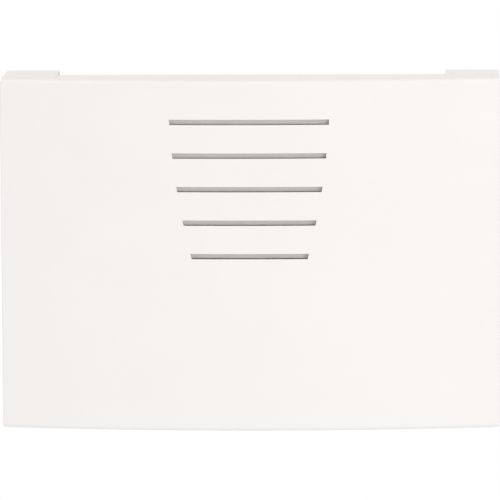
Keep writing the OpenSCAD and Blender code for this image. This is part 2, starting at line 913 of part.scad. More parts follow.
module terminal_board() {
    color("#6b4a33") difference() {
        translate([0, 0, board_z]) towards_front(boss_y, board_t) round_rect(board_w, board_h, board_r);
        both_sides() translate([board_screw_x, 0, board_z])
            bar_y(boss_y + cut, board_t + 2 * cut, fix_screw_d + 2 * pin_gap);
        for (i = [-1, 0, 1]) translate([i * terminal_pitch, 0, terminal_z])
            bar_y(boss_y + cut, board_t + 2 * cut, terminal_screw_d + 2 * pin_gap);
    }
}

module terminal_board_screws() {
    color("#c9c6bd") both_sides() translate([board_screw_x, 0, board_z])
        screw_y(board_y, fix_screw_d, fix_head_d, fix_head_t, board_t + boss_h);
}

module terminal_plates() {
    color("#c8a552") for (i = [-1, 0, 1]) translate([i * terminal_pitch, 0, 0]) difference() {
        towards_front(board_y, terminal_t) {
            translate([0, terminal_z]) square([terminal_w, terminal_h], center = true);
            translate([-tag_w / 2, terminal_z]) square([tag_w, tag_top_z - terminal_z]);
        }
        translate([0, 0, terminal_z])
            bar_y(board_y + cut, terminal_t + 2 * cut, terminal_screw_d + 2 * pin_gap);
    }
}

module terminal_screws() {
    color("#d0b469") for (i = [-1, 0, 1]) translate([i * terminal_pitch, 0, terminal_z])
        screw_y(
            terminal_y, terminal_screw_d, terminal_head_d, terminal_head_t,
            terminal_t + board_t + terminal_screw_out
        );
}

// Coil leads

lead_sides = 8;
// One insulated lead along its route
module lead(route) {
    path = smooth(route);
    ahead = headings(path);
    ring_tube([
        for (i = [0 : len(path) - 1])
            let (side = unit(cross(ahead[i], [1, 0, 0])), up = cross(side, ahead[i]))
            [
                for (k = [0 : lead_sides - 1])
                    path[i] + lead_d / 2
                        * (cos(360 * k / lead_sides) * up + sin(360 * k / lead_sides) * side)
            ]
    ]);
}

module front_coil_lead() {
    color("#a83232") lead(front_lead);
}

module rear_coil_lead() {
    color("#3c5f9c") lead(rear_lead);
}

module common_leads() {
    color("#2a2a2a") {
        lead(common_lead_a);
        lead(common_lead_b);
    }
}

base_plate();
cover();
left_tone_plate();
right_tone_plate();
tone_plate_grommets();
tone_plate_screws();
solenoid_bracket();
bracket_screws();
plunger_guides();
front_bobbin();
front_winding();
rear_bobbin();
rear_winding();
front_plunger_core();
front_return_head();
front_strike_rod();
front_spring();
rear_plunger_core();
rear_return_head();
rear_strike_rod();
rear_spring();
felt_damper();
terminal_board();
terminal_board_screws();
terminal_plates();
terminal_screws();
front_coil_lead();
rear_coil_lead();
common_leads();
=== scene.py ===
import math

import bmesh
import bpy
from mathutils import Matrix, Vector, noise


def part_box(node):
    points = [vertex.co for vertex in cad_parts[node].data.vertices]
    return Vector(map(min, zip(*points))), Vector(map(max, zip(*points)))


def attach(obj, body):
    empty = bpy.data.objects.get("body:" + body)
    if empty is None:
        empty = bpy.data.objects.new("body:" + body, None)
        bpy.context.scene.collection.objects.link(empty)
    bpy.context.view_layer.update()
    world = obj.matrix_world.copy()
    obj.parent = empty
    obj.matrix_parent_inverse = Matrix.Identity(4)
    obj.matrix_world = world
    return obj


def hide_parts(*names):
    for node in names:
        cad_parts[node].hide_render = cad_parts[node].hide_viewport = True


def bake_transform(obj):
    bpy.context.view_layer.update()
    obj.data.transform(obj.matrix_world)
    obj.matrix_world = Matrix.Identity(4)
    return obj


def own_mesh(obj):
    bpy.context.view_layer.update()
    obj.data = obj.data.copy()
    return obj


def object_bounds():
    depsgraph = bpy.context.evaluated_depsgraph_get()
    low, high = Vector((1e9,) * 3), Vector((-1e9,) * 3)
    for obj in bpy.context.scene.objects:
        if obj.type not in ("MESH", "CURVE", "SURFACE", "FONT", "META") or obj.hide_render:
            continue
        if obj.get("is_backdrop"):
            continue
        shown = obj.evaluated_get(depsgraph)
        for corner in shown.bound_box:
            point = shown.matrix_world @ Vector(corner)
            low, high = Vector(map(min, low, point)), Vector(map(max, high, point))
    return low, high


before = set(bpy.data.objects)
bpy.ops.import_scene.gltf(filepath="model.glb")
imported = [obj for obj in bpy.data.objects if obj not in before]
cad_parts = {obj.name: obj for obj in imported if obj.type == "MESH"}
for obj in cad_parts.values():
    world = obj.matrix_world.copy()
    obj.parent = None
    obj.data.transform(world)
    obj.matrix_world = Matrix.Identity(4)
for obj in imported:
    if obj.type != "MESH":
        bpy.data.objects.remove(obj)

cad_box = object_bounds()
scene = bpy.context.scene
scene.view_settings.view_transform = "Standard"

# Camera. It stands over two metres in front of the box, a little to the right and above, and looks
# down on it by seven degrees through a long lens, so that the upright sides stay nearly parallel.
camera_place = Vector((0.07673, -2.33206, 0.29294))
look_left, look_down, tilt = (math.radians(angle) for angle in (1.9156, 7.2264, -0.3029))
camera_data = bpy.data.cameras.new("camera")
camera_data.sensor_width = 36.0
camera_data.lens = 437.961
camera_data.clip_start, camera_data.clip_end = 0.05, 60.0
camera = bpy.data.objects.new("camera", camera_data)
scene.collection.objects.link(camera)
camera.matrix_world = (
    Matrix.Translation(camera_place)
    @ Matrix.Rotation(look_left, 4, "Z")
    @ Matrix.Rotation(math.radians(90) - look_down, 4, "X")
    @ Matrix.Rotation(tilt, 4, "Z")
)
scene.camera = camera

# Base plate. One moulding in cream ABS: plate, rim, grip tongues, pillars, bosses and damper post.
# It is screwed to the wall and carries everything else. The pins that push it out of its mould
# leave rows of faint round marks on its inner face.


def put(tree, kind, sockets=None, **properties):
    """Adds a shader node. A socket gets a plain value, or a link from another node's output."""
    made = tree.nodes.new("ShaderNode" + kind)
    for name, value in properties.items():
        setattr(made, name, value)
    for name, value in (sockets or {}).items():
        if isinstance(value, bpy.types.NodeSocket):
            tree.links.new(value, made.inputs[name])
        else:
            made.inputs[name].default_value = value
    return made


def effect(name, inputs, outputs):
    """An empty node group with named sockets, and the nodes that stand for its inputs and outputs."""
    tree = bpy.data.node_groups.new(name, "ShaderNodeTree")
    for way, sockets in (("INPUT", inputs), ("OUTPUT", outputs)):
        for label, kind in sockets.items():
            tree.interface.new_socket(label, in_out=way, socket_type="NodeSocket" + kind)
    return tree, tree.nodes.new("NodeGroupInput").outputs, tree.nodes.new("NodeGroupOutput").inputs


def spread(tree, value, low, high, lowest=0.0, highest=1.0):
    """A value that runs from low to high, brought to the range from lowest to highest."""
    return put(tree, "MapRange", {
        "Value": value, "From Min": low, "From Max": high, "To Min": lowest, "To Max": highest,
    }).outputs[0]


def stretched(tree, soft, lowest=0.0, highest=1.0):
    """Soft noise, which keeps mostly from 0.3 to 0.7, brought to the range from lowest to highest."""
    return spread(tree, soft, 0.3, 0.7, lowest, highest)


def tint(tree, share, first, second):
    """A colour between two, by a share from 0 to 1."""
    return put(tree, "Mix", {0: share, 6: first, 7: second}, data_type="RGBA").outputs[2]


def cloud(tree, vector, scale, detail=2.0):
    """Soft noise about 0.5, with its features about one over scale metres apart."""
    return put(tree, "TexNoise", {"Vector": vector, "Scale": scale, "Detail": detail}).outputs[0]


moulded_skin, given, made_skin = effect(
    "moulded skin",
    {
        "Colour": "Color", "Cloudy Colour": "Color", "Grain Scale": "Float",
        "Roughness Low": "Float", "Roughness High": "Float",
    },
    {"Colour": "Color", "Roughness": "Float", "Height": "Float"},
)
place = put(moulded_skin, "TexCoord").outputs["Object"]
drift = stretched(moulded_skin, cloud(moulded_skin, place, scale=26.0, detail=3.0))
sheen = stretched(moulded_skin, cloud(moulded_skin, place, scale=180.0))
gloss = put(moulded_skin, "Mix", {0: sheen, 2: given["Roughness Low"], 3: given["Roughness High"]})
for output, value in (
    ("Colour", tint(moulded_skin, drift, given["Colour"], given["Cloudy Colour"])),
    ("Roughness", gloss.outputs[0]),
    ("Height", cloud(moulded_skin, place, given["Grain Scale"], detail=3.0)),
):
    moulded_skin.links.new(value, made_skin[output])


def surface(name, group, sockets, bump, **shader_values):
    """A material whose colour, roughness and fine relief come from a shared effect."""
    material = bpy.data.materials.new(name)
    material.use_nodes = True
    tree = material.node_tree
    shader = tree.nodes["Principled BSDF"]
    for socket, value in shader_values.items():
        shader.inputs[socket.replace("_", " ")].default_value = value
    skin = put(tree, "Group", sockets, node_tree=group)
    relief = put(tree, "Bump", {"Height": skin.outputs["Height"], "Strength": 1.0, "Distance": bump})
    tree.links.new(skin.outputs["Colour"], shader.inputs["Base Color"])
    tree.links.new(skin.outputs["Roughness"], shader.inputs["Roughness"])
    tree.links.new(relief.outputs[0], shader.inputs["Normal"])
    return material


def moulded(name, colour, cloudy, roughness, grain_scale, bump=0.00002, **shader_values):
    """A plastic or rubber moulding."""
    return surface(name, moulded_skin, {
        "Colour": (*colour, 1), "Cloudy Colour": (*cloudy, 1), "Grain Scale": grain_scale,
        "Roughness Low": roughness[0], "Roughness High": roughness[1],
    }, bump, **shader_values)


def dress(material, *nodes):
    """Gives CAD nodes their finish."""
    for name in nodes:
        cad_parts[name].data.materials[0] = material


base_finish = moulded(
    "base moulding", colour=(0.80, 0.775, 0.725), cloudy=(0.765, 0.735, 0.68), roughness=(0.42, 0.55),
    grain_scale=1500.0, bump=0.00003,
)
pin_spacing_x, pin_spacing_z, pin_radius = 0.052, 0.038, 0.0024
pin_edge, pin_depth, facing_front = 0.00015, 0.00012, -0.9
base_tree = base_finish.node_tree
spot = put(base_tree, "SeparateXYZ", {0: put(base_tree, "TexCoord").outputs["Object"]}).outputs
across = put(base_tree, "Math", {0: spot["X"], 1: pin_spacing_x / 2}, operation="PINGPONG").outputs[0]
upward = put(base_tree, "Math", {0: spot["Z"], 1: pin_spacing_z / 2}, operation="PINGPONG").outputs[0]
off_centre = put(base_tree, "CombineXYZ", {
    0: put(base_tree, "Math", {0: pin_spacing_x / 2, 1: across}, operation="SUBTRACT").outputs[0],
    1: put(base_tree, "Math", {0: pin_spacing_z / 2, 1: upward}, operation="SUBTRACT").outputs[0],
})
reach = put(base_tree, "VectorMath", {0: off_centre.outputs[0]}, operation="LENGTH").outputs["Value"]
pin_step = spread(base_tree, reach, pin_radius - pin_edge, pin_radius + pin_edge)
normal = put(base_tree, "SeparateXYZ", {0: put(base_tree, "NewGeometry").outputs["Normal"]}).outputs
inner_face = put(base_tree, "Math", {0: normal["Y"], 1: facing_front}, operation="LESS_THAN").outputs[0]
pin_mark = put(base_tree, "Math", {0: pin_step, 1: inner_face}, operation="MULTIPLY").outputs[0]
base_normal = base_tree.nodes["Principled BSDF"].inputs["Normal"]
pin_relief = put(base_tree, "Bump", {
    "Height": pin_mark, "Strength": 1.0, "Distance": pin_depth, "Normal": base_normal.links[0].from_socket,
})
base_tree.links.new(pin_relief.outputs[0], base_normal)
dress(base_finish, "base_plate")

# Tone plates. Two bars of cold-rolled steel strip, the left one longer and so lower in pitch.
# They are cropped to length, pierced where a free bar does not ring, and zinc plated, so the grain
# of the rolling runs along them under a bluish, slightly clouded plating.
plated_skin, given, made_skin = effect(
    "plated skin",
    {
        "Colour": "Color", "Cloudy Colour": "Color", "Grain": "Vector",
        "Roughness Low": "Float", "Roughness High": "Float",
    },
    {"Colour": "Color", "Roughness": "Float", "Height": "Float"},
)
place = put(plated_skin, "TexCoord").outputs["Object"]
along = put(plated_skin, "VectorMath", {0: place, 1: given["Grain"]}, operation="MULTIPLY").outputs[0]
lines = put(plated_skin, "TexNoise", {
    "Vector": along, "Scale": 1.0, "Detail": 4.0, "Roughness": 0.65,
}).outputs[0]
drift = stretched(plated_skin, cloud(plated_skin, place, scale=70.0, detail=4.0))
streak = stretched(plated_skin, lines)
both = put(plated_skin, "Math", {0: drift, 1: streak}, operation="ADD").outputs[0]
share = put(plated_skin, "Math", {0: both, 1: 1 / 2}, operation="MULTIPLY").outputs[0]
gloss = put(plated_skin, "Mix", {0: share, 2: given["Roughness Low"], 3: given["Roughness High"]})
for output, value in (
    ("Colour", tint(plated_skin, share, given["Colour"], given["Cloudy Colour"])),
    ("Roughness", gloss.outputs[0]),
    ("Height", lines),
):
    plated_skin.links.new(value, made_skin[output])


def metal(name, colour, cloudy, roughness, grain_xyz, bump=0.00001):
    """A bare or plated metal. The grain gives how many features it has in a metre along each axis."""
    return surface(name, plated_skin, {
        "Colour": (*colour, 1), "Cloudy Colour": (*cloudy, 1), "Grain": grain_xyz,
        "Roughness Low": roughness[0], "Roughness High": roughness[1],
    }, bump, Metallic=1.0)


plate_finish = metal(
    "rolled zinc plate", colour=(0.60, 0.62, 0.645), cloudy=(0.50, 0.515, 0.53), roughness=(0.24, 0.40),
    grain_xyz=(2600, 2600, 60),
)
dress(plate_finish, "left_tone_plate", "right_tone_plate")

# Grommets. Four black rubber grommets, moulded with round lips and snapped into the holes of the
# tone plates, so that the plates hang free and ring. The still share says where a ringing bar does
# not move, as a share of its length from each end.
still_share = 0.224
grommet_places = []
for plate in ("left_tone_plate", "right_tone_plate"):
    plate_low, plate_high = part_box(plate)
    still_reach = (1 / 2 - still_share) * (plate_high.z - plate_low.z)
    for end in (-1, 1):
        grommet_places.append((plate_low + plate_high) / 2 + Vector((0, 0, end * still_reach)))
grommet_bore, grommet_neck, lip_radius = 0.00205, 0.00395, 0.00625
neck_half, grommet_half, lip_round = 0.0013, 0.0033, 0.00055
same_place = 1e-6


def turn(mesh, outline, axis_at, steps):
    """Turns an outline of places along x and radii right round an axis along x."""
    points = [mesh.verts.new((x, axis_at[0], axis_at[1] + radius)) for x, radius in outline]
    ring = [mesh.edges.new((points[i - 1], points[i])) for i in range(len(points))]
    bmesh.ops.spin(
        mesh, geom=points + ring, cent=(0, *axis_at), axis=(1, 0, 0), angle=2 * math.pi, steps=steps,
        use_merge=True,
    )


def round_edges(mesh, radius, segments, least_angle=math.radians(30)):
    """Rounds every edge where two faces meet at more than the least angle."""
    pairs = [edge for edge in mesh.edges if len(edge.link_faces) == 2]
    sharp = [edge for edge in pairs if edge.calc_face_angle() > least_angle]
    bmesh.ops.bevel(
        mesh, geom=sharp, offset=radius, offset_type="OFFSET", segments=segments, profile=0.5,
        affect="EDGES", material=-1, clamp_overlap=True,
    )


def points_of(geometry):
    """The points among mixed points, edges and faces."""
    return [item for item in geometry if isinstance(item, bmesh.types.BMVert)]


def finished(mesh, name, material, body, slot, *replaced, sharp=40):
    """Closes a mesh, turns its faces outwards, and makes it a piece that rides on a body."""
    bmesh.ops.remove_doubles(mesh, verts=mesh.verts[:], dist=same_place)
    bmesh.ops.recalc_face_normals(mesh, faces=mesh.faces[:])
    for face in mesh.faces:
        face.smooth = True
    data = bpy.data.meshes.new(name)
    mesh.to_mesh(data)
    mesh.free()
    data.set_sharp_from_angle(angle=math.radians(sharp))
    data.materials.append(material)
    piece = bpy.data.objects.new(name, data)
    scene.collection.objects.link(piece)
    if body:
        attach(piece, body)
    if replaced:
        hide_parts(*replaced)
    return piece


rubber = moulded(
    "grommet rubber", colour=(0.022, 0.022, 0.023), cloudy=(0.034, 0.033, 0.032), roughness=(0.62, 0.8),
    grain_scale=3200.0, bump=0.00004,
)
mesh = bmesh.new()
turn(mesh, [
    (-grommet_half, grommet_bore), (-grommet_half, lip_radius),
    (-neck_half, lip_radius), (-neck_half, grommet_neck),
    (neck_half, grommet_neck), (neck_half, lip_radius),
    (grommet_half, lip_radius), (grommet_half, grommet_bore),
], axis_at=(0, 0), steps=40)
bmesh.ops.recalc_face_normals(mesh, faces=mesh.faces[:])
round_edges(mesh, lip_round, segments=3)
first = mesh.verts[:] + mesh.edges[:] + mesh.faces[:]
for spot in grommet_places[1:]:
    copy = bmesh.ops.duplicate(mesh, geom=first)["geom"]
    bmesh.ops.translate(mesh, verts=points_of(copy), vec=spot)
bmesh.ops.translate(mesh, verts=points_of(first), vec=grommet_places[0])
finished(mesh, "rubber_grommets", rubber, "base", "grommet_rubber", "tone_plate_grommets")

# Tone plate screws. Four slotted pan-head screws, steel with a yellowish zinc finish, driven
# through the grommets into the pillars. They hold the grommets lightly, without pinching them.
screw_finish = metal(
    "zinc screw", colour=(0.66, 0.635, 0.56), cloudy=(0.55, 0.53, 0.47), roughness=(0.26, 0.42),
    grain_xyz=(900, 900, 900),
)
dress(screw_finish, "tone_plate_screws")

# Solenoid bracket. One strip of mild steel bent to a U, zinc plated, with two screws into the base.
# It carries both coils and closes their magnetic path.
bracket_finish = metal(
    "zinc bracket", colour=(0.64, 0.63, 0.585), cloudy=(0.53, 0.525, 0.50), roughness=(0.28, 0.46),
    grain_xyz=(70, 1900, 1900),
)
dress(bracket_finish, "solenoid_bracket")
dress(screw_finish, "bracket_screws")

# Guide bushes. Four turned nylon bushes pressed into the bracket's end plates, in natural ivory.
# The plungers slide in them.
nylon = moulded(
    "natural nylon", colour=(0.80, 0.75, 0.62), cloudy=(0.74, 0.68, 0.54), roughness=(0.34, 0.46),
    grain_scale=900.0, bump=0.00001, Subsurface_Weight=0.12, Subsurface_Scale=0.001,
)
dress(nylon, "plunger_guides")

# Bobbins. Two spools moulded in white nylon, held between the end plates of the bracket. Their
# flanges keep the wire in place, and the plungers pass through them.
bobbin_finish = moulded(
    "bobbin moulding", colour=(0.79, 0.78, 0.74), cloudy=(0.74, 0.73, 0.68), roughness=(0.36, 0.5),
    grain_scale=1200.0,
)
dress(bobbin_finish, "front_bobbin", "rear_bobbin")

# Windings. Each bobbin holds layers of enamelled copper wire, laid turn against turn. Only the top
# layer is wound here, over one solid for the layers below it. Bands of woven tape bind the wire
# where the leads come out.
coil_axes = {"front": (-0.020, 0.013), "rear": (-0.020, -0.013)}
winding_half, winding_radius, winding_core = 0.0243, 0.0100, 0.00505
turns_laid, wire_radius, wire_sides, steps_in_turn = 116, 0.000212, 6, 24
lower_layers = winding_radius - 1.5 * wire_radius
band_half, band_inside, band_outside = 0.0032, 0.00985, 0.01013
band_places = {"front": (-0.020, 0.009), "rear": (-0.008, 0.020)}


def wire_ring(mesh, axis_at, radius, wire, start, sides):
    """The round section of a wire, standing above an axis along x."""
    centre = Matrix.Translation((start, axis_at[0], axis_at[1] + radius))
    upright = Matrix.Rotation(math.pi / 2, 4, "X")
    ring = bmesh.ops.create_circle(
        mesh, cap_ends=False, radius=wire, segments=sides, matrix=centre @ upright,
    )["verts"]
    return ring + list({edge for vert in ring for edge in vert.link_edges})


def wind(mesh, ring, axis_at, turns, length, steps):
    """Winds a wire's section round an axis along x while it moves along, and returns its last section."""
    count = round(turns * steps)
    return bmesh.ops.spin(
        mesh, geom=ring, cent=(0, *axis_at), axis=(1, 0, 0), dvec=(length / count, 0, 0),
        angle=2 * math.pi * turns, steps=count,
    )["geom_last"]


def close_ends(mesh):
    """Joins what meets, and fills the open ends."""
    bmesh.ops.remove_doubles(mesh, verts=mesh.verts[:], dist=same_place)
    bmesh.ops.holes_fill(mesh, edges=[edge for edge in mesh.edges if edge.is_boundary], sides=0)


copper = bpy.data.materials.new("enamelled copper")
copper.use_nodes = True
tree = copper.node_tree
shader = tree.nodes["Principled BSDF"]
shader.inputs["Metallic"].default_value = 1.0
shader.inputs["Coat Weight"].default_value = 0.7
shader.inputs["Coat Roughness"].default_value = 0.14
shader.inputs["Coat Tint"].default_value = (1.0, 0.86, 0.7, 1)
place = put(tree, "TexCoord").outputs["Object"]
turn_grain = (2400.0, 60.0, 60.0)
each_turn = put(tree, "VectorMath", {0: place, 1: turn_grain}, operation="MULTIPLY").outputs[0]
turn_share = stretched(tree, cloud(tree, each_turn, scale=1.0, detail=1.0))
copper_colour = tint(tree, turn_share, (0.66, 0.27, 0.12, 1), (0.46, 0.16, 0.065, 1))
tree.links.new(copper_colour, shader.inputs["Base Color"])
copper_roughness = stretched(tree, cloud(tree, place, scale=260.0), lowest=0.22, highest=0.38)
tree.links.new(copper_roughness, shader.inputs["Roughness"])

tape = bpy.data.materials.new("woven tape")
tape.use_nodes = True
tree = tape.node_tree
shader = tree.nodes["Principled BSDF"]
place = put(tree, "TexCoord").outputs["Object"]
thread = {"Vector": place, "Scale": 360.0, "Distortion": 0.4, "Detail": 1.0}
warp, weft = (put(tree, "TexWave", thread, bands_direction=way).outputs[1] for way in ("X", "Z"))
weave = put(tree, "Math", {0: warp, 1: weft}, operation="MULTIPLY").outputs[0]
tape_colour = tint(tree, weave, (0.50, 0.43, 0.27, 1), (0.70, 0.62, 0.43, 1))
tree.links.new(tape_colour, shader.inputs["Base Color"])
tape_roughness = stretched(tree, cloud(tree, place, scale=300.0), lowest=0.6, highest=0.8)
tree.links.new(tape_roughness, shader.inputs["Roughness"])
weave_relief = put(tree, "Bump", {"Height": weave, "Strength": 1.0, "Distance": 0.00006})
tree.links.new(weave_relief.outputs[0], shader.inputs["Normal"])

for name, axis_at in coil_axes.items():
    mesh = bmesh.new()
    turn(mesh, [
        (-winding_half, winding_core), (-winding_half, lower_layers),
        (winding_half, lower_layers), (winding_half, winding_core),
    ], axis_at, steps=48)
    solid = set(mesh.verts)
    pitch = 2 * (winding_half - wire_radius) / turns_laid
    start = -winding_half + wire_radius
    ring = wire_ring(mesh, axis_at, winding_radius - wire_radius, wire_radius, start, wire_sides)
    wind(mesh, ring, axis_at, turns=1, length=pitch, steps=steps_in_turn)
    one_turn = [vert for vert in mesh.verts if vert not in solid]
    one_turn += list({face for vert in one_turn for face in vert.link_faces})
    for number in range(1, turns_laid):
        laid = bmesh.ops.duplicate(mesh, geom=one_turn)["geom"]
        bmesh.ops.translate(mesh, verts=points_of(laid), vec=(number * pitch, 0, 0))
    close_ends(mesh)
    finished(mesh, name + "_copper_turns", copper, "base", "copper_wire", name + "_winding")
    mesh = bmesh.new()
    for middle in band_places[name]:
        turn(mesh, [
            (middle - band_half, band_inside), (middle - band_half, band_outside),
            (middle + band_half, band_outside), (middle + band_half, band_inside),
        ], axis_at, steps=64)
    finished(mesh, name + "_coil_tape", tape, "base", "bobbin_plastic")

# Plungers. Each is a turned soft-iron core with a nylon return head pressed into its left end and a
# nylon strike rod into its right end. Only nylon meets the tone plates, so the note is soft. The
# nylon pieces are merged copies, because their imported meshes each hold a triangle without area.
core_finish = metal(
    "turned core", colour=(0.50, 0.50, 0.51), cloudy=(0.40, 0.40, 0.405), roughness=(0.26, 0.42),
    grain_xyz=(5200, 30, 30), bump=0.000016,
)
dress(core_finish, "front_plunger_core", "rear_plunger_core")
for name in coil_axes:
    for made, node in (("_nylon_head", name + "_return_head"), ("_nylon_rod", name + "_strike_rod")):
        mesh = bmesh.new()
        mesh.from_mesh(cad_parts[node].data)
        finished(mesh, name + made, nylon, name + "_plunger", "nylon", node)

# Return springs. Two compression springs of drawn steel wire with closed ends, between the guide
# bush and the collar of the return head. They shorten as the plunger goes to the right; here each is built
# at one fixed length.
spring_finish = metal(
    "spring wire", colour=(0.66, 0.66, 0.67), cloudy=(0.56, 0.56, 0.57), roughness=(0.2, 0.34),
    grain_xyz=(700, 700, 700),
)
spring_radius, spring_wire, spring_fixed, spring_seat = 0.0042, 0.00035, -0.0295, 0.00005
closed_turns, closed_pitch = 1.0, 1.02 * 2 * spring_wire
closed_length = closed_turns * closed_pitch
spring_sides, spring_steps = 10, 28
springs = {"front": {"collar": -0.0490, "open_turns": 6.5}, "rear": {"collar": -0.04265, "open_turns": 4.5}}
for name, spring in springs.items():
    mesh = bmesh.new()
    start = spring["collar"] + spring_seat + spring_wire
    open_length = spring_fixed - spring_seat - spring_wire - start - 2 * closed_length
    ring = wire_ring(mesh, coil_axes[name], spring_radius, spring_wire, start, spring_sides)
    for wound, length in (
        (closed_turns, closed_length), (spring["open_turns"], open_length), (closed_turns, closed_length),
    ):
        ring = wind(mesh, ring, coil_axes[name], wound, length, spring_steps)
    close_ends(mesh)
    if name == "front":
        piece = finished(mesh, "front_return_spring", spring_finish, None, "spring_steel", "front_spring")
        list(coil_axes[name])
        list(coil_axes[name])
        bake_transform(piece)
    else:
        piece = finished(mesh, "rear_return_spring", spring_finish, "base", "spring_steel", "rear_spring")
        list(coil_axes[name])
        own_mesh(piece)

# Felt damper. A disc punched from dark green wool felt and glued to its post. It stops the
# back-door plunger before it can reach the left tone plate.
felt_low, felt_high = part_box("felt_damper")
felt_middle = (felt_low + felt_high) / 2
rim_room, face_room, fuzz_height, fuzz_scale = 0.00012, 0.0001, 0.00007, 1300.0
felt_radius = (felt_high.z - felt_low.z) / 2 - rim_room
felt_thickness = felt_high.x - felt_low.x - face_room
felt_round, felt_rings = 0.0003, (0.0008, 0.0010, 0.0010)
felt_sides, longest_edge, fuzz_seed = 40, 0.0012, 1
felt = bpy.data.materials.new("wool felt")
felt.use_nodes = True
tree = felt.node_tree
shader = tree.nodes["Principled BSDF"]
shader.inputs["Sheen Weight"].default_value = 0.35
shader.inputs["Sheen Roughness"].default_value = 0.6
place = put(tree, "TexCoord").outputs["Object"]
fibres = put(tree, "TexNoise", {
    "Vector": place, "Scale": 1900.0, "Detail": 5.0, "Distortion": 1.4,
}).outputs[0]
felt_colour = tint(tree, stretched(tree, fibres), (0.075, 0.105, 0.07, 1), (0.17, 0.21, 0.15, 1))
tree.links.new(felt_colour, shader.inputs["Base Color"])
felt_roughness = stretched(tree, cloud(tree, place, scale=700.0), lowest=0.85, highest=1.0)
tree.links.new(felt_roughness, shader.inputs["Roughness"])
fibre_relief = put(tree, "Bump", {"Height": fibres, "Strength": 1.0, "Distance": 0.00018})
tree.links.new(fibre_relief.outputs[0], shader.inputs["Normal"])
mesh = bmesh.new()
bmesh.ops.create_cone(
    mesh, cap_ends=True, segments=felt_sides, radius1=felt_radius, radius2=felt_radius,
    depth=felt_thickness, matrix=Matrix.Translation(felt_middle) @ Matrix.Rotation(math.pi / 2, 4, "Y"),
)
round_edges(mesh, felt_round, segments=2)
for width in felt_rings:
    caps = [face for face in mesh.faces if len(face.verts) == felt_sides]
    bmesh.ops.inset_individual(mesh, faces=caps, thickness=width)
long_edges = [edge for edge in mesh.edges if edge.calc_length() > longest_edge]
bmesh.ops.subdivide_edges(mesh, edges=long_edges, cuts=3, use_grid_fill=True)
noise.seed_set(fuzz_seed)
for vert in mesh.verts:
    vert.co += fuzz_height * noise.noise_vector(vert.co * fuzz_scale)
finished(mesh, "green_felt_disc", felt, "base", "felt", "felt_damper", sharp=60)

# Terminal board. A strip of brown phenolic board, punched from sheet and screwed to two bosses.
# Pressed layers of paper give it a fibrous colour.
board_finish = surface("phenolic board", plated_skin, {
    "Colour": (0.205, 0.098, 0.046, 1), "Cloudy Colour": (0.135, 0.060, 0.028, 1),
    "Grain": (260.0, 1500.0, 900.0), "Roughness Low": 0.38, "Roughness High": 0.58,
}, bump=0.00002)
dress(board_finish, "terminal_board")
dress(screw_finish, "terminal_board_screws")

# Terminals. Three stamped brass plates, each with a solder tag above the board, and three slotted
# screws that clamp the bell wires. The screws are of a browner brass, with painted shade deeper in their
# slots.
brass = metal(
    "stamped brass", colour=(0.72, 0.53, 0.215), cloudy=(0.56, 0.38, 0.14), roughness=(0.24, 0.42),
    grain_xyz=(520, 520, 900),
)
dress(brass, "terminal_plates")
screw_brass = metal(
    "tarnished brass", colour=(0.50, 0.325, 0.115), cloudy=(0.35, 0.215, 0.075), roughness=(0.22, 0.36),
    grain_xyz=(900, 1900, 900),
)
head_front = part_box("terminal_screws")[0].y
# Painted shade: the screw brass darkens with depth behind the face of the head, most of all in the slots.
painted_shade_start, painted_shade_full, painted_shade_share, painted_shade_colour = 0.00015, 0.0007, 0.8, (0.07, 0.042, 0.018, 1)
tree = screw_brass.node_tree
depth = put(tree, "SeparateXYZ", {0: put(tree, "TexCoord").outputs["Object"]}).outputs["Y"]
painted_shade = spread(tree, depth, head_front + painted_shade_start, head_front + painted_shade_full, highest=painted_shade_share)
brass_colour = tree.nodes["Principled BSDF"].inputs["Base Color"]
tree.links.new(tint(tree, painted_shade, brass_colour.links[0].from_socket, painted_shade_colour), brass_colour)
dress(screw_brass, "terminal_screws")

# Coil leads. Four stranded wires in red, blue and black PVC, soldered to the tags: one from each
# coil to its own terminal, and one from each to the common terminal in the middle. Their routes are
# in millimetres.
lead_radius, mm_in_metre = 0.00065, 1000
lead_routes = {
    "front_red_lead": ("front_coil_lead", "red_insulation", [
        (-20, -30.05, 13), (-20, -31.8, 13), (-20, -33.4, 10.5), (-20, -33.6, 2), (-20, -33.6, -10),
        (-20, -33, -21), (-19, -29, -29), (-16.5, -21, -35.5), (-14.4, -14.5, -39.8),
        (-14, -10.35, -40.3)]),
    "rear_blue_lead": ("rear_coil_lead", "blue_insulation", [
        (20, -30.05, -13), (20, -31.8, -13), (20, -33.2, -15.5), (19.6, -32.6, -22),
        (18.5, -28.5, -29.5), (16.5, -21, -35.5), (14.4, -14.5, -39.8), (14, -10.35, -40.3)]),
    "front_black_lead": ("common_leads", "black_insulation", [
        (9, -30.05, 13), (9, -31.8, 13), (9, -33.4, 10.5), (9, -33.6, 2), (8.5, -33.6, -10),
        (7, -33, -21), (5, -29, -29), (3, -21, -35.5), (1.4, -14.5, -39.8), (1.3, -10.35, -40.3)]),
    "rear_black_lead": ("common_leads", "black_insulation", [
        (-8, -30.05, -13), (-8, -31.8, -13), (-7.8, -33.2, -15.5), (-7, -32.6, -22),
        (-5, -28.5, -29.5), (-3, -21, -35.5), (-1.4, -14.5, -39.8), (-1.3, -10.35, -40.3)]),
}
insulation = {
    "red_insulation": moulded(
        "red PVC", colour=(0.43, 0.030, 0.024), cloudy=(0.35, 0.022, 0.018), roughness=(0.24, 0.36),
        grain_scale=800.0,
    ),
    "blue_insulation": moulded(
        "blue PVC", colour=(0.035, 0.10, 0.36), cloudy=(0.028, 0.08, 0.29), roughness=(0.24, 0.36),
        grain_scale=800.0,
    ),
    "black_insulation": moulded(
        "black PVC", colour=(0.018, 0.018, 0.019), cloudy=(0.026, 0.026, 0.026), roughness=(0.26, 0.4),
        grain_scale=800.0,
    ),
}
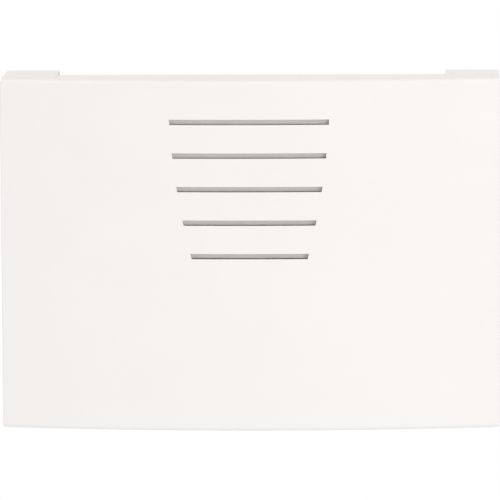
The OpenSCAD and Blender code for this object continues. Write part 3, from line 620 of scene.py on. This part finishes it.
for name, (node, slot, route) in lead_routes.items():
    data = bpy.data.curves.new(name, "CURVE")
    data.dimensions = "3D"
    data.bevel_depth, data.bevel_resolution, data.resolution_u = lead_radius, 3, 8
    data.use_fill_caps = True
    line = data.splines.new("BEZIER")
    line.bezier_points.add(len(route) - 1)
    for knot, point in zip(line.bezier_points, route):
        knot.co = Vector(point) / mm_in_metre
        knot.handle_left_type = knot.handle_right_type = "AUTO"
    data.materials.append(insulation[slot])
    lead = bpy.data.objects.new(name, data)
    scene.collection.objects.link(lead)
    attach(lead, "base")
    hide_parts(node)

# Solder. A small bright cone of solder on each tag, drawn up round the end of its lead as it set.
# The outline gives heights above the tag and radii, and leaves room for the bare end of the wire.
solder = metal(
    "bright solder", colour=(0.72, 0.72, 0.71), cloudy=(0.58, 0.58, 0.575), roughness=(0.16, 0.34),
    grain_xyz=(800, 800, 800), bump=0.00004,
)
tag_face = -0.0103
solder_outline = [
    (0.0, 0.0002), (0.0, 0.00115), (0.00022, 0.00105),
    (0.0006, 0.00084), (0.0014, 0.0007), (0.0014, 0.0002),
]
mesh = bmesh.new()
for _, _, route in lead_routes.values():
    x, _, z = (length / mm_in_metre for length in route[-1])
    before = set(mesh.verts)
    turn(mesh, solder_outline, axis_at=(0, 0), steps=24)
    added = [vert for vert in mesh.verts if vert not in before]
    bmesh.ops.rotate(mesh, verts=added, cent=(0, 0, 0), matrix=Matrix.Rotation(-math.pi / 2, 3, "Z"))
    bmesh.ops.translate(mesh, verts=added, vec=(x, tag_face, z))
finished(mesh, "solder_joints", solder, "base", "plated_steel")

# Cover. One bowed moulding in matt warm-white ABS, with five slots that have hoods behind them. It
# pushes on over the grip tongues of the base and pulls off towards the front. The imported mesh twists
# along the two long round edges, so a merged copy of it is cut there into even facets on the round.
cover_finish = moulded(
    "cover moulding", colour=(0.90, 0.866, 0.842), cloudy=(0.886, 0.851, 0.825), roughness=(0.46, 0.54),
    grain_scale=2600.0, bump=0.000012,
)
cover_low, cover_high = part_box("cover")
cover_width = cover_high.x - cover_low.x
bow_depth, long_edge, edge_rows, column_width = 0.0092, 0.0015, 8, 0.0032
bow_radius = (cover_high.x ** 2 + bow_depth ** 2) / (2 * bow_depth)
bow_middle = cover_low.y + bow_radius
edge_level = cover_high.z - long_edge
near_round, near_bow, cut_snap = 2e-5, 1e-5, 1e-7


def round_place(vert):
    """How far a point lies out from the bow's axis and up, both from the middle of the round edge."""
    from_axis = math.hypot(vert.co.x, vert.co.y - bow_middle)
    return from_axis - bow_radius + long_edge, abs(vert.co.z) - edge_level


def is_rounded(face):
    """Whether a face lies on one of the two long round edges, and not on the flat top or bottom."""
    places = [round_place(vert) for vert in face.verts]
    on_round = all(
        min(place) > -near_round and abs(math.hypot(*place) - long_edge) < near_round for place in places
    )
    at_one_edge = abs(face.calc_center_median().z) > edge_level
    return on_round and at_one_edge and min(up for _, up in places) < long_edge - same_place


def is_bowed(face):
    """Whether a face lies on the bowed front."""
    outs = [round_place(vert)[0] for vert in face.verts]
    return face.normal.y < facing_front and all(abs(out - long_edge) < near_bow for out in outs)


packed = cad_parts["cover"].data
mesh = bmesh.new()
mesh.from_mesh(packed)
facing = mesh.loops.layers.float_vector.new("facing")
for polygon, face in zip(packed.polygons, mesh.faces):
    for corner, loop in zip(polygon.loop_indices, face.loops):
        loop[facing] = packed.corner_normals[corner].vector
bmesh.ops.remove_doubles(mesh, verts=mesh.verts[:], dist=same_place)
rounded = mesh.faces.layers.int.new("rounded")
for face in mesh.faces:
    face[rounded] = is_rounded(face)
columns = math.ceil(cover_width / column_width)
cuts = [((cover_low.x + cover_width * n / columns, 0, 0), (1, 0, 0)) for n in range(1, columns)]
for side in (-1, 1):
    for row in range(1, edge_rows):
        rise = long_edge * math.sin(math.pi / 2 * row / edge_rows)
        cuts.append(((0, 0, side * (edge_level + rise)), (0, 0, 1)))
for point, across in cuts:
    faces = [face for face in mesh.faces if face[rounded]]
    edges = {edge for face in faces for edge in face.edges}
    verts = {vert for face in faces for vert in face.verts}
    bmesh.ops.bisect_plane(
        mesh, geom=[*verts, *edges, *faces], dist=cut_snap, plane_co=point, plane_no=across,
    )
for vert in {vert for face in mesh.faces if face[rounded] for vert in face.verts}:
    _, up = round_place(vert)
    reach = bow_radius - long_edge + math.sqrt(max(long_edge ** 2 - max(up, 0) ** 2, 0))
    from_axis = Vector((vert.co.x, vert.co.y - bow_middle)).normalized() * reach
    vert.co.x, vert.co.y = from_axis.x, from_axis.y + bow_middle
for face in mesh.faces:
    for loop in face.loops if face[rounded] or is_bowed(face) else ():
        out, up = (max(length, 0) for length in round_place(loop.vert))
        outward = Vector((loop.vert.co.x, loop.vert.co.y - bow_middle, 0)).normalized()
        upward = Vector((0, 0, math.copysign(up if face[rounded] else 0, loop.vert.co.z)))
        loop[facing] = (outward * out + upward).normalized()
cover_shell = finished(mesh, "cover_shell", cover_finish, "cover", "cover_moulding", "cover", sharp=30)
outwards = [corner.vector.copy() for corner in cover_shell.data.attributes["facing"].data]
cover_shell.data.normals_split_custom_set(outwards)

# Floor and light. The box hangs on a wall, so the pale floor is well below it. Two large soft lamps, one
# in front on the right and one overhead, stand in a pale surround that the camera sees as white.
floor_level, floor_half, floor_white = -1.3, 6.0, 0.36
surround_light, lamp_distance, lamp_size = 0.805, 2.4, 1.3
mesh = bmesh.new()
bmesh.ops.create_grid(
    mesh, x_segments=1, y_segments=1, size=floor_half, matrix=Matrix.Translation((0, 0, floor_level)),
)
floor_data = bpy.data.meshes.new("floor")
mesh.to_mesh(floor_data)
mesh.free()
floor = bpy.data.objects.new("floor", floor_data)
scene.collection.objects.link(floor)
floor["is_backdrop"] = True


def seen_directly(tree):
    """1 for a ray from the camera, or by way of gloss or glass, and 0 for the light itself."""
    path = put(tree, "LightPath").outputs
    by_way = put(tree, "Math", {0: path["Is Glossy Ray"], 1: path["Is Transmission Ray"]}, operation="ADD")
    either = {0: path["Is Camera Ray"], 1: by_way.outputs[0]}
    return put(tree, "Math", either, operation="ADD", use_clamp=True).outputs[0]


floor_finish = bpy.data.materials.new("pale floor")
floor_finish.use_nodes = True
tree = floor_finish.node_tree
shader = tree.nodes["Principled BSDF"]
shader.inputs["Base Color"].default_value = (0.90, 0.90, 0.90, 1)
shader.inputs["Roughness"].default_value = 0.9
shader.inputs["Specular IOR Level"].default_value = 0.1
glow_strength = put(tree, "Math", {0: seen_directly(tree), 1: floor_white}, operation="MULTIPLY")
glow = put(tree, "Emission", {"Color": (1, 1, 1, 1), "Strength": glow_strength.outputs[0]})
both = put(tree, "AddShader", {0: shader.outputs[0], 1: glow.outputs[0]})
tree.links.new(both.outputs[0], tree.nodes["Material Output"].inputs["Surface"])
floor_data.materials.append(floor_finish)

world = bpy.data.worlds.new("pale surround")
world.use_nodes = True
scene.world = world
tree = world.node_tree
surround = tree.nodes["Background"]
surround.inputs["Color"].default_value = (1, 1, 1, 1)
surround.inputs["Strength"].default_value = surround_light
white = put(tree, "Background", {"Color": (1, 1, 1, 1), "Strength": 1.0})
both = put(tree, "MixShader", {0: seen_directly(tree), 1: surround.outputs[0], 2: white.outputs[0]})
tree.links.new(both.outputs[0], tree.nodes["World Output"].inputs["Surface"])

for name, right, up, power in (("front lamp", 20, 8, 13.5), ("top lamp", 10, 75, 5.0)):
    right, up = math.radians(right), math.radians(up)
    lamp_data = bpy.data.lights.new(name, "AREA")
    lamp_data.shape = "SQUARE"
    lamp_data.size = lamp_size
    lamp_data.energy = power
    lamp = bpy.data.objects.new(name, lamp_data)
    scene.collection.objects.link(lamp)
    towards_lamp = Vector((math.sin(right) * math.cos(up), -math.cos(right) * math.cos(up), math.sin(up)))
    lamp.location = towards_lamp * lamp_distance
    lamp.rotation_euler = towards_lamp.to_track_quat("Z", "Y").to_euler()

({
    name: [list(corner) for corner in box] for name, box in (("cad", cad_box), ("visual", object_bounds()))
})
